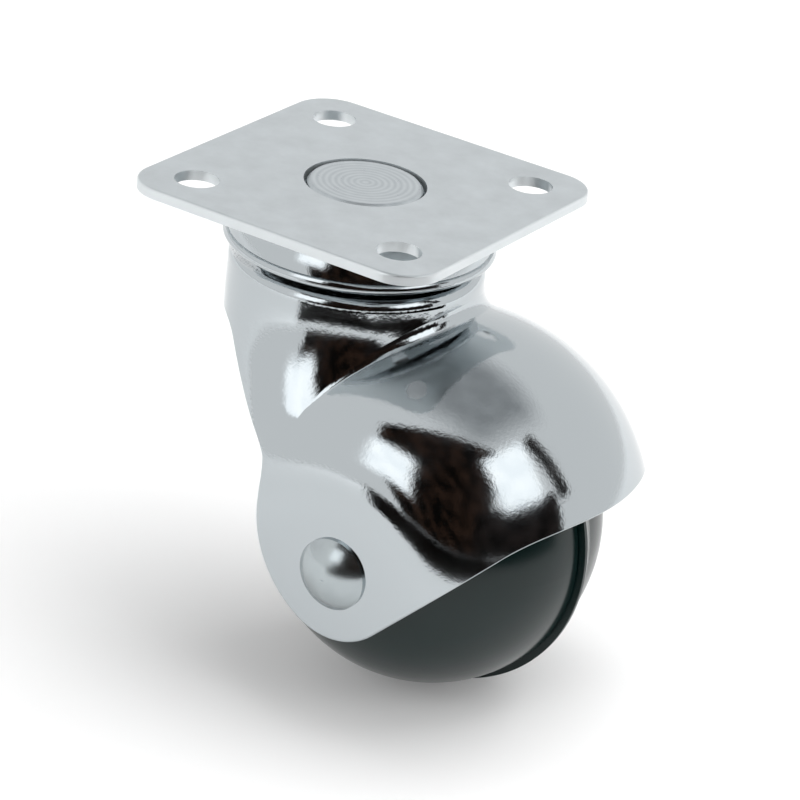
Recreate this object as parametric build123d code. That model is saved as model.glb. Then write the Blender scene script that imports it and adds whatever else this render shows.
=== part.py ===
from build123d import *

import os
from math import asin, atan2, cos, degrees, hypot, pi, radians, sin, sqrt, tan

# Hooded ball caster on a square top plate. All sizes are millimetres.
# The origin is the centre of the plate's top face, +Z is up, and the ball trails towards +X.
# The hood is one pressed shell. The same outer form is made twice, the second time one sheet smaller
# all round, and the difference between the two is a wall of even thickness.

# Top plate
plate_side = 50.0
plate_thickness = 1.5
plate_corner_radius = 6.0
plate_edge_round = 0.35
hole_pitch = 34.5
hole_diameter = 6.5

# Upper race cup, a drawn ring welded under the plate
cup_outer_radius = 19.8
cup_sheet = 1.0
cup_depth = 7.4
cup_corner_radius = 1.8
cup_lip_flat = 0.25
cup_floor_drop = 1.2
cup_dish_gap = 0.92

# Kingpin
pin_head_gap = 0.5
pin_head_chamfer = 0.45
pin_shank_radius = 5.4
pin_tail_radius = 4.0
pin_peen_overlap = 3.0
pin_peen_height = 2.0
seat_clearance = 0.02

# Bearing balls in two rings, one over and one under the hood's crown
upper_ball_diameter = 4.76
lower_ball_diameter = 3.97
lower_pitch_radius = 8.9
groove_depth = 0.35
ball_clearance = 0.06
ball_spacing = 0.05

# Lower race cup, a thick dish held by the peened end of the kingpin
lower_cup_sheet = 1.2
lower_cup_rim_height = 1.0
lower_cup_rim_gap = 0.3

# Ball wheel
trail = 17.5
ball_diameter = 49.6
lip_height = 1.1
lip_land = 0.6
lip_slope = 3.0
ball_wall = 3.0
hub_flat_inset = 0.8
hub_wall = 3.4
rib_count = 6
rib_thickness = 1.6
rib_gap = 0.3
tongue_length = 2.0
tongue_thickness = 1.6
tongue_clearance = 0.1
seam_chamfer = 0.25

# Axle
axle_diameter = 6.0
axle_head_diameter = 10.7
axle_head_height = 2.7
axle_head_rim = 0.4
axle_tail_diameter = 9.6
axle_tail_height = 2.0
sleeve_wall = 0.98
wheel_bore_clearance = 0.06
washer_diameter = 12.0
washer_thickness = 1.0
wheel_side_play = 0.2

# Hood
hood_sheet = 0.8
hood_gap_under_cup = 1.3
crown_lip_gap = 1.42
crown_rim = 0.75
crown_bend = 0.9
crown_pin_gap = 0.8
shoulder_bend = 1.3
turret_step = 1.1
turret_height = 3.8
waist_above_axle = 25.85
waist_centre = 1.2
waist_flare_rearward = 0.5
waist_flare_sideways = 1.9
hem_above_axle = 10.85
hem_setback = 7.5
hem_inset_in_dome = 10.9
hem_inset_in_cheek = 0.4
crease_radius = 2.5
axle_drop = 36.65
dome_clearance = 6.0
cheek_blend_radius = 10.0
ear_radius = 10.4
visor_height = 12.0
visor_slope = 45.0
visor_round = 12.0
heel_distance = 13.9
heel_height = 6.0
notch_foot_height = 13.0
notch_foot_round = 8.0
notch_height = 27.0
notch_slope = 46.0
notch_round = 6.0
trim_edge_round = 0.3

# Points closer than this are the same point
touch = 0.0001

# Radii that follow from the sizes above
upper_ball_radius = upper_ball_diameter / 2
lower_ball_radius = lower_ball_diameter / 2
cup_lip_radius = cup_outer_radius - cup_corner_radius - cup_lip_flat
crown_radius = cup_lip_radius - crown_lip_gap
upper_pitch_radius = crown_radius - crown_rim - upper_ball_radius
pin_opening_radius = upper_pitch_radius - upper_ball_radius - cup_dish_gap - cup_sheet
pin_head_radius = pin_opening_radius - pin_head_gap
turret_radius = cup_outer_radius - turret_step
lower_cup_inner_radius = lower_pitch_radius + lower_ball_radius + lower_cup_rim_gap
lower_cup_radius = lower_cup_inner_radius + lower_cup_sheet
ball_radius = ball_diameter / 2
lip_radius = ball_radius + lip_height
ball_inner_radius = ball_radius - ball_wall
axle_radius = axle_diameter / 2
sleeve_inner_radius = axle_radius + seat_clearance
sleeve_radius = sleeve_inner_radius + sleeve_wall
hub_bore_radius = sleeve_radius + wheel_bore_clearance
hub_radius = hub_bore_radius + hub_wall
dome_radius = ball_radius + dome_clearance + hood_sheet

# Heights of the swivel's stack
plate_bottom = -plate_thickness
cup_ceiling = plate_bottom - cup_sheet
cup_floor_top = plate_bottom - cup_floor_drop
cup_floor_bottom = cup_floor_top - cup_sheet
cup_bottom = plate_bottom - cup_depth
upper_ball_z = cup_ceiling + groove_depth - ball_clearance - upper_ball_radius
crown_top = upper_ball_z - upper_ball_radius - ball_clearance + groove_depth
crown_bottom = crown_top - hood_sheet
lower_ball_z = crown_bottom + groove_depth - ball_clearance - lower_ball_radius
lower_cup_top = lower_ball_z - lower_ball_radius - ball_clearance + groove_depth
lower_cup_bottom = lower_cup_top - lower_cup_sheet
shoulder_z = cup_bottom - hood_gap_under_cup
axle_z = shoulder_z - axle_drop
waist_z = axle_z + waist_above_axle
hem_z = axle_z + hem_above_axle

# Distances from the wheel's middle plane
hub_face = ball_radius - hub_flat_inset
washer_face = hub_face + wheel_side_play
cheek_inner = washer_face + washer_thickness
cheek_outer = cheek_inner + hood_sheet

# Half lengths and half widths of the neck's two oval sections
waist_half_length = turret_radius + waist_flare_rearward
waist_half_width = turret_radius + waist_flare_sideways
hem_half_length = dome_radius - hem_inset_in_dome
hem_half_width = cheek_outer - hem_inset_in_cheek

wheel_axis = Axis((trail, 0, axle_z), (0, 1, 0))
wheel_section = Plane((trail, 0, axle_z), x_dir=(1, 0, 0), z_dir=(0, 0, 1))
side_view = Plane((trail, 0, axle_z), x_dir=(1, 0, 0), z_dir=(0, -1, 0))
far_reach = 2 * (dome_radius + plate_side)


def outline(*points):
    """Face with straight sides through the points."""
    return make_face(Polyline(*points, close=True))


def swivel_turned(face):
    """Body of revolution about the swivel axis, from a face in radius and height."""
    return revolve(Plane.XZ * face, Axis.Z)


def axle_turned(face):
    """Body of revolution about the axle, from a face in radius and distance towards the far side."""
    return revolve(wheel_section * face, wheel_axis)


def ring_section(inner, outer, low, high):
    """Rectangular section of a ring or tube."""
    return outline((inner, low), (outer, low), (outer, high), (inner, high))


def ring_edges(body, radius, height):
    """Round edges of this radius about the swivel axis at this height."""
    return [
        edge for edge in body.edges().filter_by(GeomType.CIRCLE)
        if abs(edge.radius - radius) < touch and abs(edge.bounding_box().center().Z - height) < touch
    ]


def race_groove(pitch_radius, ball_radius_of_race, height):
    """Torus that cuts a race's groove, a running clearance larger than its balls."""
    return Pos(0, 0, height) * Torus(pitch_radius, ball_radius_of_race + ball_clearance)


def race_balls(pitch_radius, radius, height):
    """As many balls as the race holds, evenly spaced about the swivel axis."""
    count = int(pi / asin((radius + ball_spacing / 2) / pitch_radius))
    first_ball = Pos(pitch_radius, 0, height) * Sphere(radius)
    return [Rot(0, 0, 360 * index / count) * first_ball for index in range(count)]


def top_plate():
    """Stamped plate with four screw holes and the opening for the kingpin's head."""
    blank = Rectangle(plate_side, plate_side)
    blank = fillet(blank.vertices(), plate_corner_radius)
    blank -= Circle(pin_opening_radius)
    blank -= GridLocations(hole_pitch, hole_pitch, 2, 2) * Circle(hole_diameter / 2)
    plate = extrude(blank, -plate_thickness)
    top_rim = plate.faces().sort_by(Axis.Z)[-1].outer_wire().edges()
    return fillet(top_rim, plate_edge_round)


def upper_race_cup():
    """Cup with a turned-in lip below, and a dished floor that the kingpin's head bears on."""
    bore = pin_shank_radius + seat_clearance
    inner_wall = cup_outer_radius - cup_sheet
    lip_top = cup_bottom + cup_sheet
    cup = swivel_turned(outline(
        (bore, cup_floor_top), (pin_opening_radius, cup_floor_top), (pin_opening_radius, plate_bottom),
        (cup_outer_radius, plate_bottom), (cup_outer_radius, cup_bottom), (cup_lip_radius, cup_bottom),
        (cup_lip_radius, lip_top), (inner_wall, lip_top), (inner_wall, cup_ceiling),
        (pin_opening_radius + cup_sheet, cup_ceiling), (pin_opening_radius + cup_sheet, cup_floor_bottom),
        (bore, cup_floor_bottom),
    ))
    cup = fillet(ring_edges(cup, inner_wall, lip_top), cup_corner_radius - cup_sheet)
    cup = fillet(ring_edges(cup, cup_outer_radius, cup_bottom), cup_corner_radius)
    return cup - race_groove(upper_pitch_radius, upper_ball_radius, upper_ball_z)


def kingpin():
    """Headed pin: flush head, shouldered shank, and a tail peened over the lower race cup."""
    peen_radius = pin_tail_radius + pin_peen_overlap
    pin = swivel_turned(outline(
        (0, 0), (pin_head_radius - pin_head_chamfer, 0), (pin_head_radius, -pin_head_chamfer),
        (pin_head_radius, cup_floor_top), (pin_shank_radius, cup_floor_top), (pin_shank_radius, lower_cup_top),
        (pin_tail_radius, lower_cup_top), (pin_tail_radius, lower_cup_bottom), (0, lower_cup_bottom),
    ))
    return pin + Plane((0, 0, lower_cup_bottom), z_dir=(0, 0, -1)) * domed_head(peen_radius, pin_peen_height)


def domed_head(radius, height, rim=0):
    """Rivet head standing on the XY plane: a dome, on a short straight rim if it has one."""
    rise = height - rim
    sphere_radius = (radius ** 2 + rise ** 2) / (2 * rise)
    dome = Pos(0, 0, height - sphere_radius) * Sphere(sphere_radius)
    return dome & Cylinder(radius, height, align=(Align.CENTER, Align.CENTER, Align.MIN))


def lower_race_cup():
    """Dish under the lower balls with a low upturned rim."""
    bore = pin_tail_radius + seat_clearance
    rim_top = lower_cup_top + lower_cup_rim_height
    cup = swivel_turned(outline(
        (bore, lower_cup_bottom), (lower_cup_radius, lower_cup_bottom), (lower_cup_radius, rim_top),
        (lower_cup_inner_radius, rim_top), (lower_cup_inner_radius, lower_cup_top), (bore, lower_cup_top),
    ))
    cup = fillet(ring_edges(cup, lower_cup_radius, lower_cup_bottom), lower_cup_sheet)
    return cup - race_groove(lower_pitch_radius, lower_ball_radius, lower_ball_z)


def helm(inset):
    """Ball-shaped part of the hood: a sphere with two flat cheeks, blended into each other."""
    radius = dome_radius - inset
    section = Circle(radius) & Rectangle(2 * radius, 2 * (cheek_outer - inset))
    section = fillet(section.vertices(), cheek_blend_radius - inset)
    section &= Pos(radius, 0) * Rectangle(2 * radius, 2 * radius)
    return axle_turned(section)


def oval(half_length, half_width):
    """Section of the neck, longer or wider than round, that starts at the rear."""
    return scale(Rot(0, 0, 180) * Circle(half_length), by=(1, half_width / half_length, 1))


def neck(inset):
    """Round turret that widens below into an oval and runs out inside the helm."""
    turret = oval(turret_radius - inset, turret_radius - inset)
    waist = oval(waist_half_length - inset, waist_half_width - inset)
    hem = oval(hem_half_length - inset, hem_half_width - inset)
    flare = loft([
        Pos(0, 0, shoulder_z - inset) * turret,
        Pos(0, 0, shoulder_z - turret_height) * turret,
        Pos(waist_centre, 0, waist_z) * waist,
        Pos(trail - hem_setback, 0, hem_z) * hem,
    ])
    return fillet(flare.edges().group_by(Axis.Z)[-1], shoulder_bend + hood_sheet - inset)


def hood_form(inset):
    """The hood's outer form, or at one sheet's inset its inner form."""
    ball_cover = helm(inset)
    stem = neck(inset)
    form = ball_cover + stem
    meeting = new_edges(ball_cover, stem, combined=form)
    crease = max(meeting, key=lambda edge: edge.bounding_box().max.Z)
    form = fillet(crease, crease_radius + inset)
    crown_base = shoulder_z - turret_height / 2
    form += swivel_turned(ring_section(0, crown_radius - inset, crown_base, crown_top - inset))
    return fillet(ring_edges(form, crown_radius - inset, crown_top - inset), crown_bend + hood_sheet - inset)


def trim_outline():
    """Side view of what the trimming press leaves, measured from the axle."""
    heel_radius = (heel_distance ** 2 + heel_height ** 2 - ear_radius ** 2) / (2 * (heel_distance - ear_radius))
    heel_centre = (heel_radius - heel_distance, heel_height)
    reach = hypot(*heel_centre)
    join = (-ear_radius * heel_centre[0] / reach, -ear_radius * heel_centre[1] / reach)
    join_angle = degrees(atan2(join[1], join[0]))
    heel_turn = degrees(atan2(join[1] - heel_centre[1], join[0] - heel_centre[0]))
    slope = radians(visor_slope)
    visor_start = (ear_radius * sin(slope), -ear_radius * cos(slope))
    visor_end = (visor_start[0] + (visor_height - visor_start[1]) / tan(slope), visor_height)
    heel_start = (-heel_distance, heel_height)
    notch_foot = (-heel_distance, notch_foot_height)
    notch_run = (notch_height - notch_foot_height) / tan(radians(notch_slope))
    notch_corner = (-heel_distance - notch_run, notch_height)
    edges = [
        Line((-far_reach, notch_height), notch_corner),
        Line(notch_corner, notch_foot),
        Line(notch_foot, heel_start),
        CenterArc(heel_centre, heel_radius, 180, heel_turn + 180),
        CenterArc((0, 0), ear_radius, join_angle, visor_slope - 90 - join_angle),
        Line(visor_start, visor_end),
        Polyline(visor_end, (far_reach, visor_height), (far_reach, far_reach), (-far_reach, far_reach),
                 (-far_reach, notch_height)),
    ]
    face = make_face(edges)
    face = fillet(corner_at(face, notch_corner), notch_round)
    face = fillet(corner_at(face, notch_foot), notch_foot_round)
    return fillet(corner_at(face, visor_end), visor_round)


def corner_at(face, place):
    """Corners of a flat face at the given place."""
    return [corner for corner in face.vertices() if hypot(corner.X - place[0], corner.Y - place[1]) < touch]


def hood():
    """Pressed shell with the crown between the ball races, the dome, the cheeks and the trimmed rim."""
    pressing = hood_form(0)
    trim = extrude(side_view * trim_outline(), far_reach, both=True)
    shell = pressing & trim
    shell = fillet(new_edges(pressing, trim, combined=shell), trim_edge_round)
    shell -= hood_form(hood_sheet)
    shell -= swivel_turned(ring_section(0, pin_shank_radius + crown_pin_gap, crown_bottom - hood_sheet, 0))
    shell -= race_groove(upper_pitch_radius, upper_ball_radius, upper_ball_z)
    shell -= race_groove(lower_pitch_radius, lower_ball_radius, lower_ball_z)
    return shell - axle_turned(ring_section(0, axle_radius + seat_clearance, -far_reach, far_reach))


def wheel_shell(side):
    """Hollow half of the ball with its hub tube, without ribs. Side is -1 near, 1 far."""
    ball = Circle(ball_radius) & ring_section(0, ball_radius, 0, hub_face)
    hollow = Circle(ball_inner_radius) & ring_section(hub_radius, ball_radius, -hub_face, hub_face)
    face = ball - hollow - ring_section(0, hub_bore_radius, -hub_face, hub_face)
    return face if side > 0 else mirror(face, Plane.XZ)


def wheel_ribs(side, start):
    """Ribs from the hub to the inside of the ball, from a distance off the middle plane outwards."""
    reach = ring_section(hub_radius - hub_wall / 2, ball_radius, start, hub_face)
    ring = Circle(ball_inner_radius + ball_wall / 2) & reach
    disc = axle_turned(ring if side > 0 else mirror(ring, Plane.XZ))
    rib = Box(ball_radius, 2 * ball_radius, rib_thickness, align=(Align.MIN, Align.CENTER, Align.CENTER))
    turns = [Rot(0, 360 * index / rib_count, 0) for index in range(rib_count)]
    return disc & [Pos(trail, 0, axle_z) * turn * rib for turn in turns]


def wheel_half_near():
    """Half with a plain edge; the far half's tongue fits inside it."""
    half = axle_turned(wheel_shell(-1)) + wheel_ribs(-1, tongue_length + rib_gap)
    rim = [edge for edge in half.edges().filter_by(GeomType.CIRCLE) if abs(edge.radius - ball_radius) < touch]
    return chamfer(rim, seam_chamfer)


def wheel_half_far():
    """Half with the raised lip at its edge and the tongue that centres the near half."""
    tongue_outer = sqrt(ball_inner_radius ** 2 - tongue_length ** 2) - tongue_clearance
    tongue_inner = tongue_outer - tongue_thickness
    lip_end = lip_land + lip_slope
    lip = outline(
        (ball_inner_radius, 0), (lip_radius, 0), (lip_radius, lip_land),
        (sqrt(ball_radius ** 2 - lip_end ** 2), lip_end), (ball_inner_radius, lip_end),
    )
    tongue = ring_section(tongue_inner, tongue_outer, -tongue_length, tongue_length)
    root = ring_section(tongue_inner, ball_inner_radius + ball_wall / 2, 0, tongue_length)
    return axle_turned(wheel_shell(1) + lip + tongue + root) + wheel_ribs(1, rib_gap)


def axle_rivet():
    """Solid rivet through both cheeks, with a formed head near and a peened one far."""
    near_cheek = Plane((trail, -cheek_outer, axle_z), x_dir=(1, 0, 0), z_dir=(0, -1, 0))
    far_cheek = Plane((trail, cheek_outer, axle_z), x_dir=(1, 0, 0), z_dir=(0, 1, 0))
    shank = axle_turned(ring_section(0, axle_radius, -cheek_outer, cheek_outer))
    head = near_cheek * domed_head(axle_head_diameter / 2, axle_head_height, axle_head_rim)
    tail = far_cheek * domed_head(axle_tail_diameter / 2, axle_tail_height)
    return shank + head + tail


def axle_sleeve():
    """Tube that the rivet clamps between the cheeks; the wheel turns on it."""
    return axle_turned(ring_section(sleeve_inner_radius, sleeve_radius, -cheek_inner, cheek_inner))


def washer(side):
    """Flat washer between the hub and a cheek. Side is -1 near, 1 far."""
    low, high = sorted((side * washer_face, side * cheek_inner))
    return axle_turned(ring_section(sleeve_radius + seat_clearance, washer_diameter / 2, low, high))


def caster():
    """Every piece of the caster under its own name."""
    pieces = {
        "top_plate": top_plate(),
        "upper_race_cup": upper_race_cup(),
        "kingpin": kingpin(),
        "lower_race_cup": lower_race_cup(),
        "hood": hood(),
        "axle_rivet": axle_rivet(),
        "axle_sleeve": axle_sleeve(),
        "near_washer": washer(-1),
        "far_washer": washer(1),
        "wheel_half_near": wheel_half_near(),
        "wheel_half_far": wheel_half_far(),
    }
    rings = {
        "upper_ball": race_balls(upper_pitch_radius, upper_ball_radius, upper_ball_z),
        "lower_ball": race_balls(lower_pitch_radius, lower_ball_radius, lower_ball_z),
    }
    for name, balls in rings.items():
        pieces |= {f"{name}_{number:02d}": ball for number, ball in enumerate(balls, 1)}
    return pieces


os.makedirs("parts", exist_ok=True)
for node, piece in caster().items():
    export_step(piece, f"parts/{node}.step")
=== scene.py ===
import math

import bpy
from mathutils import Matrix, Vector


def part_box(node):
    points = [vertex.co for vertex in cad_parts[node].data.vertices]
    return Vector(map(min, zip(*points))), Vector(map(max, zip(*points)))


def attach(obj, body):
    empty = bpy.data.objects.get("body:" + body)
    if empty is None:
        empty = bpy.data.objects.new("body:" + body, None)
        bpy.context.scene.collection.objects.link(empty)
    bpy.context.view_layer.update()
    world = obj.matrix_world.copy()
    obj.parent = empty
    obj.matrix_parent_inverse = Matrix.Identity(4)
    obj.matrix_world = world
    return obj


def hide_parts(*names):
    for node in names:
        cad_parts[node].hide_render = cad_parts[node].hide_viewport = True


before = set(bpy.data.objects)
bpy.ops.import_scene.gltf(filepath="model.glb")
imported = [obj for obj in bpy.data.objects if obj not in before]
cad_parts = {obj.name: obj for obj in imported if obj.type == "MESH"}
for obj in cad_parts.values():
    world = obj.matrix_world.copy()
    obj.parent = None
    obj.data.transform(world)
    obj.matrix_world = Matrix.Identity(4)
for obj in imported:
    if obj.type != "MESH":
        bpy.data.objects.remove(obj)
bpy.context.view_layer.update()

# Hooded ball caster: its finishes, the race cup as it is drawn, the studio and the camera.
# Lengths are metres unless a name or comment says millimetres. The swivel axis is X 0, Y 0.
MM = 0.001
ball_low, ball_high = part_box("wheel_half_far")
ball_centre = Vector(((ball_low.x + ball_high.x) / 2, 0, (ball_low.z + ball_high.z) / 2))

# The hood's wide bend: its start and end outwards from the axle, and the two heights over the axle between
# which it fades in.
bend_starts = 6 * MM
bend_ends = 27 * MM
bend_fades_from = -3 * MM
bend_full_above = 5 * MM

# The race cup's section in millimetres: radius from the swivel axis, then height from the plate's upper face.
flare_centre = (7.58, -10.34)
flare_radius = 12.0
flare_angles = range(30, 13, -2)
cup_wall = 0.8
crimp = [(19.2, -7.44), (19.22, -7.52), (19.34, -7.56), (19.5, -7.6), (19.57, -7.68)]
rim_centre = (19.25, -8.35)
rim_radius = 0.55
rim_angles = range(15, -91, -15)
rim_inside = [(17.75, -8.9), (17.75, -7.9), (18.3, -7.9)]
ball_seat = [(14.6, -1.95), (9.9, -1.95), (9.9, -3.7), (5.42, -3.7), (5.42, -2.7), (8.9, -2.7)]
weld_ring = [(8.9, -1.5), (15.1, -1.5)]
cup_facets = 192
sharp_edge = math.radians(35)

# The photograph's view. Azimuth turns from -Y towards +X.
camera_azimuth = math.radians(30.87)
camera_elevation = math.radians(25.27)
camera_roll = math.radians(6.43)
camera_distance = 534 * MM
camera_lens = 168.1
camera_aim = Vector((13.85, -6.84, -27.48)) * MM

# The studio. Brightness is radiance, where 1 is paper white.
lamp_distance = 0.8
card_distance = 1.0
world_fill = 0.5
floor_size = 12
strip_distance = 0.17
strip_height_over_floor = 0.02


def linear(hex_colour):
    """sRGB hex colour as linear red, green, blue and alpha."""
    channels = [int(hex_colour[i:i + 2], 16) / 255 for i in (0, 2, 4)]
    return [c / 12.92 if c <= 0.04045 else ((c + 0.055) / 1.055) ** 2.4 for c in channels] + [1.0]


def per_metre(size_mm):
    """Texture scale whose features are about this many millimetres across."""
    return 1 / (size_mm * MM)


def add_node(tree, kind, inputs=None, **properties):
    """Adds a node with its properties; an input given as a socket is linked, any other is set."""
    node = tree.nodes.new(kind)
    for name, value in properties.items():
        setattr(node, name, value)
    for name, value in (inputs or {}).items():
        if isinstance(value, bpy.types.NodeSocket):
            tree.links.new(value, node.inputs[name])
        else:
            node.inputs[name].default_value = value
    return node


def new_material(name):
    """Empty node material; returns it and its tree."""
    material = bpy.data.materials.new(name)
    material.use_nodes = True
    material.node_tree.nodes.clear()
    return material, material.node_tree


def zinc_plated_steel(name, colour, deep_colour, roughness, mirror=1.0, edge_highlight_colour=None):
    """Satin zinc plating on rolled sheet: a bluish grey with faint cloudy patches and a fine tooth.

    The crystals of the plating are too fine to show, so the tooth is drawn half a millimetre wide. The edge
    highlight colour is a painted highlight for sheet that lies flat: its cut edges and every other face that
    doesn't face up are painted brighter than its top face.
    """
    material, tree = new_material(name)
    place = add_node(tree, "ShaderNodeTexCoord").outputs["Object"]
    cloud = add_node(tree, "ShaderNodeTexNoise", {
        "Vector": place, "Scale": per_metre(6), "Detail": 4.0, "Roughness": 0.6}).outputs["Fac"]
    grain = add_node(tree, "ShaderNodeTexNoise", {
        "Vector": place, "Scale": per_metre(0.5), "Detail": 3.0, "Roughness": 0.7}).outputs["Fac"]
    patches = add_node(tree, "ShaderNodeMapRange", {
        "Value": cloud, "From Min": 0.3, "From Max": 0.75}).outputs[0]
    tone = add_node(tree, "ShaderNodeMix", {
        0: patches, 6: linear(deep_colour), 7: linear(colour)}, data_type="RGBA").outputs[2]
    # Painted highlight: faces that don't face up, such as the cut edges, get the brighter edge highlight
    # colour.
    if edge_highlight_colour:
        face = add_node(tree, "ShaderNodeNewGeometry").outputs["Normal"]
        level = add_node(tree, "ShaderNodeVectorMath", {0: face, 1: (0, 0, 1)}, operation="DOT_PRODUCT")
        painted_edge_highlight = add_node(tree, "ShaderNodeMapRange", {
            "Value": level.outputs["Value"], "From Min": 0.97, "From Max": 0.6}).outputs[0]
        tone = add_node(tree, "ShaderNodeMix", {
            0: painted_edge_highlight, 6: tone, 7: linear(edge_highlight_colour)}, data_type="RGBA").outputs[2]
    matt = add_node(tree, "ShaderNodeMapRange", {
        "Value": cloud, "From Min": 0.3, "From Max": 0.7,
        "To Min": roughness - 0.06, "To Max": roughness + 0.06}).outputs[0]
    tooth = add_node(tree, "ShaderNodeBump", {
        "Height": grain, "Strength": 0.35, "Distance": 0.03 * MM}).outputs[0]
    shader = add_node(tree, "ShaderNodeBsdfPrincipled", {
        "Base Color": tone, "Metallic": mirror, "Roughness": matt, "Normal": tooth}).outputs[0]
    add_node(tree, "ShaderNodeOutputMaterial", {"Surface": shader})
    return material


def wide_press_bend(tree):
    """Normal of the hood's sheet where the press rolls it over in a wide bend from the dome to the cheek.

    The solid's bend is tight, so the cheek's mirror would end in a hard line that the real one lacks. The
    normal of the dome about the axle is flattened towards the axle, and is used only where it nearly agrees
    with the sheet.
    """
    place = add_node(tree, "ShaderNodeTexCoord").outputs["Object"]
    sheet = add_node(tree, "ShaderNodeNewGeometry").outputs["Normal"]
    from_axle = add_node(tree, "ShaderNodeVectorMath", {
        0: place, 1: ball_centre}, operation="SUBTRACT").outputs[0]
    across = add_node(tree, "ShaderNodeVectorMath", {
        0: from_axle, 1: (1, 0, 1)}, operation="MULTIPLY").outputs[0]
    reach = add_node(tree, "ShaderNodeVectorMath", {0: across}, operation="LENGTH").outputs["Value"]
    roll = add_node(tree, "ShaderNodeMapRange", {
        "Value": reach, "From Min": bend_starts, "From Max": bend_ends},
        interpolation_type="SMOOTHSTEP").outputs[0]
    flattening = add_node(tree, "ShaderNodeCombineXYZ", {"X": roll, "Y": 1.0, "Z": roll}).outputs[0]
    lean = add_node(tree, "ShaderNodeVectorMath", {
        0: from_axle, 1: flattening}, operation="MULTIPLY").outputs[0]
    turned = add_node(tree, "ShaderNodeVectorTransform", {"Vector": lean}, vector_type="VECTOR",
                      convert_from="OBJECT", convert_to="WORLD").outputs[0]
    rolled = add_node(tree, "ShaderNodeVectorMath", {0: turned}, operation="NORMALIZE").outputs[0]
    agreement = add_node(tree, "ShaderNodeVectorMath", {0: sheet, 1: rolled}, operation="DOT_PRODUCT")
    agrees = add_node(tree, "ShaderNodeMapRange", {
        "Value": agreement.outputs["Value"], "From Min": 0.86, "From Max": 0.94},
        interpolation_type="SMOOTHSTEP").outputs[0]
    height = add_node(tree, "ShaderNodeSeparateXYZ", {"Vector": from_axle}).outputs["Z"]
    above_ear = add_node(tree, "ShaderNodeMapRange", {
        "Value": height, "From Min": bend_fades_from, "From Max": bend_full_above},
        interpolation_type="SMOOTHSTEP").outputs[0]
    share = add_node(tree, "ShaderNodeMath", {0: agrees, 1: above_ear}, operation="MULTIPLY").outputs[0]
    return add_node(tree, "ShaderNodeMix", {0: share, 4: sheet, 5: rolled}, data_type="VECTOR").outputs[1]


def bright_chrome(name, colour, roughness, bend=None):
    """Bright chrome on pressed steel: a mirror with slow waves and the faint orange peel of drawn sheet."""
    material, tree = new_material(name)
    place = add_node(tree, "ShaderNodeTexCoord").outputs["Object"]
    peel = add_node(tree, "ShaderNodeTexNoise", {
        "Vector": place, "Scale": per_metre(0.55), "Detail": 2.0, "Roughness": 0.55}).outputs["Fac"]
    waves = add_node(tree, "ShaderNodeTexNoise", {
        "Vector": place, "Scale": per_metre(9), "Detail": 1.0}).outputs["Fac"]
    haze = add_node(tree, "ShaderNodeMapRange", {
        "Value": waves, "From Min": 0.35, "From Max": 0.65,
        "To Min": roughness, "To Max": roughness + 0.05}).outputs[0]
    wavy = {"Height": waves, "Strength": 0.5, "Distance": 0.08 * MM}
    if bend:
        wavy["Normal"] = bend(tree)
    broad = add_node(tree, "ShaderNodeBump", wavy).outputs[0]
    fine = add_node(tree, "ShaderNodeBump", {
        "Height": peel, "Strength": 0.6, "Distance": 0.018 * MM, "Normal": broad}).outputs[0]
    shader = add_node(tree, "ShaderNodeBsdfPrincipled", {
        "Base Color": linear(colour), "Metallic": 1.0, "Roughness": haze, "Normal": fine}).outputs[0]
    add_node(tree, "ShaderNodeOutputMaterial", {"Surface": shader})
    return material


def turned_pin_face(name, colour, deep_colour, roughness):
    """Zinc-plated turned steel: a worn grey face with rings of the facing tool about the swivel axis.

    The real feed marks are too fine to show, so the rings are drawn 0.9 mm apart.
    """
    material, tree = new_material(name)
    place = add_node(tree, "ShaderNodeTexCoord").outputs["Object"]
    across = add_node(tree, "ShaderNodeVectorMath", {0: place, 1: (1, 1, 0)}, operation="MULTIPLY").outputs[0]
    radius = add_node(tree, "ShaderNodeVectorMath", {0: across}, operation="LENGTH").outputs["Value"]
    turns = add_node(tree, "ShaderNodeMath", {
        0: radius, 1: 2 * math.pi * per_metre(0.9)}, operation="MULTIPLY").outputs[0]
    rings = add_node(tree, "ShaderNodeMath", {0: turns}, operation="SINE").outputs[0]
    cloud = add_node(tree, "ShaderNodeTexNoise", {
        "Vector": place, "Scale": per_metre(2.5), "Detail": 2.0}).outputs["Fac"]
    marks = add_node(tree, "ShaderNodeMath", {
        0: rings, 1: 0.22, 2: cloud}, operation="MULTIPLY_ADD").outputs[0]
    worn = add_node(tree, "ShaderNodeMapRange", {"Value": marks, "From Min": 0.1, "From Max": 0.9}).outputs[0]
    tone = add_node(tree, "ShaderNodeMix", {
        0: worn, 6: linear(deep_colour), 7: linear(colour)}, data_type="RGBA").outputs[2]
    tooling = add_node(tree, "ShaderNodeBump", {
        "Height": marks, "Strength": 0.6, "Distance": 0.02 * MM}).outputs[0]
    matt = add_node(tree, "ShaderNodeMapRange", {
        "Value": cloud, "From Min": 0.3, "From Max": 0.7,
        "To Min": roughness - 0.07, "To Max": roughness + 0.07}).outputs[0]
    shader = add_node(tree, "ShaderNodeBsdfPrincipled", {
        "Base Color": tone, "Metallic": 0.85, "Roughness": matt, "Normal": tooling}).outputs[0]
    add_node(tree, "ShaderNodeOutputMaterial", {"Surface": shader})
    return material


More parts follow.
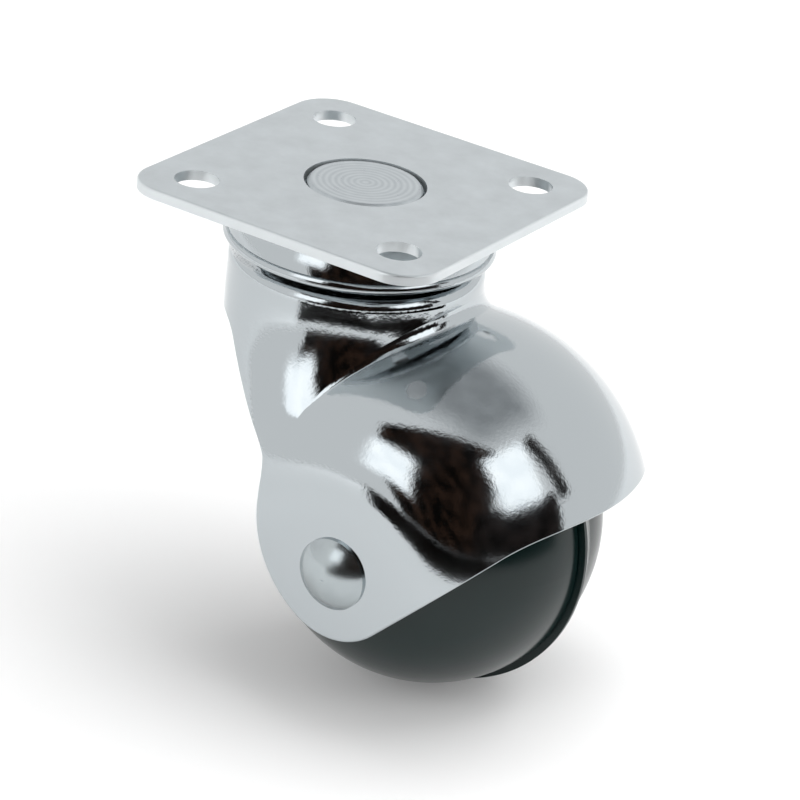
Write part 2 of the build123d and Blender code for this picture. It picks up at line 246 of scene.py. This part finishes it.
def moulded_nylon(name, colour, deep_colour, roughness):
    """Glossy moulded nylon: deep greenish charcoal with slow flow clouds and a skin that isn't quite flat.

    Its IOR starts from nylon's 1.53 and is lowered to match the dark, quiet sheen of the real ball.
    """
    material, tree = new_material(name)
    place = add_node(tree, "ShaderNodeTexCoord").outputs["Object"]
    flow = add_node(tree, "ShaderNodeTexNoise", {
        "Vector": place, "Scale": per_metre(12), "Detail": 3.0, "Distortion": 0.6}).outputs["Fac"]
    skin = add_node(tree, "ShaderNodeTexNoise", {
        "Vector": place, "Scale": per_metre(0.8), "Detail": 3.0}).outputs["Fac"]
    tone = add_node(tree, "ShaderNodeMix", {
        0: flow, 6: linear(deep_colour), 7: linear(colour)}, data_type="RGBA").outputs[2]
    matt = add_node(tree, "ShaderNodeMapRange", {
        "Value": flow, "From Min": 0.3, "From Max": 0.7,
        "To Min": roughness - 0.04, "To Max": roughness + 0.04}).outputs[0]
    relief = add_node(tree, "ShaderNodeBump", {
        "Height": skin, "Strength": 0.2, "Distance": 0.02 * MM}).outputs[0]
    shader = add_node(tree, "ShaderNodeBsdfPrincipled", {
        "Base Color": tone, "Roughness": matt, "IOR": 1.4, "Normal": relief}).outputs[0]
    add_node(tree, "ShaderNodeOutputMaterial", {"Surface": shader})
    return material


def arc(centre, radius, angles):
    """Points of an arc in a section, at these angles in degrees."""
    return [(centre[0] + radius * math.cos(math.radians(angle)),
             centre[1] + radius * math.sin(math.radians(angle))) for angle in angles]


def drawn_race_cup(material):
    """Race cup as it is drawn, with a skirt that flares to a crimped rim. The solid has a straight wall."""
    skirt_outside = arc(flare_centre, flare_radius, flare_angles)
    skirt_inside = arc(flare_centre, flare_radius - cup_wall, reversed(flare_angles))
    rim = arc(rim_centre, rim_radius, rim_angles)
    section = skirt_outside + crimp + rim + rim_inside + skirt_inside + ball_seat + weld_ring
    angles = [2 * math.pi * facet / cup_facets for facet in range(cup_facets)]
    points = [(r * MM * math.cos(angle), r * MM * math.sin(angle), z * MM)
              for angle in angles for r, z in section]
    count = len(section)
    faces = []
    for facet in range(cup_facets):
        here, there = facet * count, (facet + 1) % cup_facets * count
        for step in range(count):
            after = (step + 1) % count
            faces.append((here + step, here + after, there + after, there + step))
    mesh = bpy.data.meshes.new("drawn_race_cup")
    mesh.from_pydata(points, [], faces)
    mesh.materials.append(material)
    mesh.shade_smooth()
    mesh.set_sharp_from_angle(angle=sharp_edge)
    cup = bpy.data.objects.new("drawn_race_cup", mesh)
    bpy.context.scene.collection.objects.link(cup)
    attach(cup, "mounting_plate")
    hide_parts("upper_race_cup")


def finish_pieces():
    """Gives every piece the finish of the real one, and the race cup its drawn shape."""
    # The plate's edges and underside carry a painted highlight in a brighter colour.
    plate = zinc_plated_steel("zinc_plated_plate", "c8ced1", "b4babd", 0.36,
                              mirror=0.85, edge_highlight_colour="d6dbdd")
    cup_chrome = bright_chrome("bright_chrome_on_drawn_cup", "b6bcbf", 0.075)
    hood_chrome = bright_chrome("bright_chrome_on_pressed_hood", "b6bcbf", 0.065, wide_press_bend)
    pin = turned_pin_face("zinc_plated_turned_pin", "bfc5c8", "a4abaf", 0.33)
    rivet = zinc_plated_steel("zinc_plated_cold_headed_rivet", "b6bec0", "a4abae", 0.22)
    sleeve = zinc_plated_steel("bright_drawn_steel", "b4b5b4", "a2a3a3", 0.3)
    lower_race = zinc_plated_steel("hardened_pressed_steel", "8e8d8a", "7c7b79", 0.35)
    bearing_balls = bright_chrome("polished_bearing_steel", "b9bab9", 0.05)
    ball = moulded_nylon("moulded_charcoal_nylon", "08201f", "061817", 0.2)
    finishes = {
        "top_plate": plate, "upper_race_cup": cup_chrome, "kingpin": pin, "lower_race_cup": lower_race,
        "hood": hood_chrome, "axle_rivet": rivet, "axle_sleeve": sleeve,
        "near_washer": rivet, "far_washer": rivet,
        "wheel_half_near": ball, "wheel_half_far": ball,
    }
    for name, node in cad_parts.items():
        for slot in node.material_slots:
            slot.material = finishes.get(name, bearing_balls)
    drawn_race_cup(cup_chrome)


def direction(azimuth_degrees, elevation_degrees):
    """Unit vector from the caster, turned towards the camera's right and raised from the floor."""
    azimuth = camera_azimuth + math.radians(azimuth_degrees)
    elevation = math.radians(elevation_degrees)
    return Vector((math.sin(azimuth) * math.cos(elevation), -math.cos(azimuth) * math.cos(elevation),
                   math.sin(elevation)))


def put(item, place, target):
    """Puts a lamp or card here, with its -Z side towards the target."""
    item.location = place
    item.rotation_mode = "QUATERNION"
    item.rotation_quaternion = (target - place).to_track_quat("-Z", "Y")


def softbox_lamp(name, azimuth, elevation, width, height, brightness):
    """Light of a rectangular softbox. The chrome doesn't mirror the lamp itself, only the cards."""
    lamp = bpy.data.lights.new(name, "AREA")
    lamp.shape = "RECTANGLE"
    lamp.size = width
    lamp.size_y = height
    lamp.energy = brightness * math.pi * width * height
    box = bpy.data.objects.new(name, lamp)
    put(box, camera_aim + lamp_distance * direction(azimuth, elevation), camera_aim)
    box.visible_glossy = False
    bpy.context.scene.collection.objects.link(box)


def flat_sheet(name, width, height, material):
    """Flat stage rectangle in its own XY plane."""
    mesh = bpy.data.meshes.new(name)
    x, y = width / 2, height / 2
    mesh.from_pydata([(-x, -y, 0), (x, -y, 0), (x, y, 0), (-x, y, 0)], [], [(0, 1, 2, 3)])
    mesh.materials.append(material)
    sheet = bpy.data.objects.new(name, mesh)
    bpy.context.scene.collection.objects.link(sheet)
    return sheet


def feathered_card(name, cloth, place, target, width, height, feather, brightness=1.0):
    """Card that only mirrors see, so that chrome has something to show: mottled cloth with soft edges."""
    colour, deep_colour = cloth
    material, tree = new_material(name + "_cloth")
    spot = add_node(tree, "ShaderNodeTexCoord").outputs["Object"]
    mottle = add_node(tree, "ShaderNodeTexNoise", {
        "Vector": spot, "Scale": 7.0, "Detail": 3.0}).outputs["Fac"]
    patches = add_node(tree, "ShaderNodeMapRange", {
        "Value": mottle, "From Min": 0.42, "From Max": 0.62}).outputs[0]
    tone = add_node(tree, "ShaderNodeMix", {
        0: patches, 6: linear(deep_colour), 7: linear(colour)}, data_type="RGBA").outputs[2]
    lit = add_node(tree, "ShaderNodeEmission", {"Color": tone, "Strength": brightness}).outputs[0]
    clear = add_node(tree, "ShaderNodeBsdfTransparent").outputs[0]
    sides = add_node(tree, "ShaderNodeSeparateXYZ", {"Vector": spot}).outputs
    cover = []
    for side, edge in (("X", width / 2), ("Y", height / 2)):
        off = add_node(tree, "ShaderNodeMath", {0: sides[side]}, operation="ABSOLUTE").outputs[0]
        cover.append(add_node(tree, "ShaderNodeMapRange", {
            "Value": off, "From Min": edge, "From Max": edge - feather},
            interpolation_type="SMOOTHSTEP").outputs[0])
    share = add_node(tree, "ShaderNodeMath", {0: cover[0], 1: cover[1]}, operation="MULTIPLY").outputs[0]
    surface = add_node(tree, "ShaderNodeMixShader", {0: share, 1: clear, 2: lit}).outputs[0]
    add_node(tree, "ShaderNodeOutputMaterial", {"Surface": surface})
    card = flat_sheet(name, width, height, material)
    put(card, place, target)
    card.visible_camera = False
    card.visible_diffuse = False
    card.visible_shadow = False


def hung_card(name, cloth, distance, azimuth, elevation, width, height, feather, brightness=1.0):
    """Feathered card that hangs facing the caster."""
    place = camera_aim + distance * direction(azimuth, elevation)
    feathered_card(name, cloth, place, camera_aim, width, height, feather, brightness)


def seen_by_camera_or_mirror(tree):
    """1 for rays from the camera and rays off metal or through glass, else 0."""
    path = add_node(tree, "ShaderNodeLightPath").outputs
    seen = add_node(tree, "ShaderNodeMath", {
        0: path["Is Camera Ray"], 1: path["Is Glossy Ray"]}, operation="MAXIMUM").outputs[0]
    return add_node(tree, "ShaderNodeMath", {
        0: seen, 1: path["Is Transmission Ray"]}, operation="MAXIMUM").outputs[0]


def white_world():
    """World that looks white and lights the caster at half that strength."""
    world = bpy.data.worlds.new("white_studio")
    bpy.context.scene.world = world
    world.use_nodes = True
    tree = world.node_tree
    tree.nodes.clear()
    strength = add_node(tree, "ShaderNodeMapRange", {
        "Value": seen_by_camera_or_mirror(tree), "To Min": world_fill, "To Max": 1.0}).outputs[0]
    background = add_node(tree, "ShaderNodeBackground", {
        "Color": (1, 1, 1, 1), "Strength": strength}).outputs[0]
    add_node(tree, "ShaderNodeOutputWorld", {"Surface": background})


def paper_floor():
    """White paper that keeps the shadow. It brightens with distance, so no horizon shows in the chrome."""
    material, tree = new_material("white_paper_floor")
    paper = add_node(tree, "ShaderNodeBsdfDiffuse", {"Color": linear("eeeeee")}).outputs[0]
    spot = add_node(tree, "ShaderNodeTexCoord").outputs["Object"]
    reach = add_node(tree, "ShaderNodeVectorMath", {0: spot}, operation="LENGTH").outputs["Value"]
    cove = add_node(tree, "ShaderNodeMapRange", {
        "Value": reach, "From Min": 0.15, "From Max": 0.9, "To Min": 0.12, "To Max": 0.62}).outputs[0]
    lift = add_node(tree, "ShaderNodeMath", {
        0: seen_by_camera_or_mirror(tree), 1: cove}, operation="MULTIPLY").outputs[0]
    glow = add_node(tree, "ShaderNodeEmission", {"Color": (1, 1, 1, 1), "Strength": lift}).outputs[0]
    surface = add_node(tree, "ShaderNodeAddShader", {0: paper, 1: glow}).outputs[0]
    add_node(tree, "ShaderNodeOutputMaterial", {"Surface": surface})
    floor = flat_sheet("floor", floor_size, floor_size, material)
    floor.location = (0, 0, ball_low.z)


def lamps_and_cards():
    """Three lamps, the softbox faces that the chrome mirrors, and the dark room round them."""
    softbox_lamp("right_softbox", azimuth=56, elevation=38, width=0.42, height=0.42, brightness=2.3)
    softbox_lamp("left_softbox", azimuth=-42, elevation=26, width=0.40, height=0.54, brightness=2.3)
    softbox_lamp("overhead_softbox", azimuth=110, elevation=72, width=0.75, height=0.75, brightness=2.9)

    silk = ("ffffff", "f2f4f6")
    hung_card("right_softbox_face", silk, lamp_distance, azimuth=54, elevation=38,
              width=0.44, height=0.50, feather=0.09, brightness=2.0)
    hung_card("left_softbox_face", silk, lamp_distance, azimuth=-40, elevation=30,
              width=0.46, height=0.50, feather=0.11, brightness=2.0)

    brown_black = ("36271f", "0c0b0a")
    warm_black = ("2a2422", "0c0b0a")
    grey = ("b2b4b6", "a6a8aa")
    hung_card("dark_room_behind_camera", brown_black, card_distance, azimuth=-6, elevation=34,
              width=1.5, height=1.46, feather=0.12)
    hung_card("dark_room_under_softbox", warm_black, card_distance, azimuth=44, elevation=14,
              width=1.15, height=0.5, feather=0.06)
    hung_card("dark_gap_beside_softbox", warm_black, card_distance, azimuth=80, elevation=34,
              width=0.2, height=0.62, feather=0.07)
    hung_card("grey_ceiling", grey, card_distance, azimuth=150, elevation=80,
              width=1.6, height=1.2, feather=0.4)

    flat_black = ("1d1917", "0a0908")
    strip_height = ball_low.z + strip_height_over_floor
    for side, azimuth in (("left", -14), ("right", 52)):
        place = ball_centre + strip_distance * direction(azimuth, 0)
        place.z = strip_height
        feathered_card(side + "_low_black_strip", flat_black, place, Vector((ball_centre.x, 0, strip_height)),
                       width=0.24, height=0.054, feather=0.012)


def camera():
    """Camera at the photograph's place, with its roll."""
    forward = -direction(0, math.degrees(camera_elevation))
    right = forward.cross(Vector((0, 0, 1))).normalized()
    up = right.cross(forward)
    tilt = Matrix.Rotation(-camera_roll, 3, forward)
    lens = bpy.data.cameras.new("camera")
    lens.lens = camera_lens
    lens.sensor_width = 36
    lens.clip_start = 0.01
    view = bpy.data.objects.new("camera", lens)
    turn = Matrix((tilt @ right, tilt @ up, -forward)).transposed().to_4x4()
    view.matrix_world = Matrix.Translation(camera_aim - camera_distance * forward) @ turn
    bpy.context.scene.collection.objects.link(view)
    bpy.context.scene.camera = view


finish_pieces()
white_world()
paper_floor()
lamps_and_cards()
camera()
bpy.context.scene.view_settings.view_transform = "Standard"
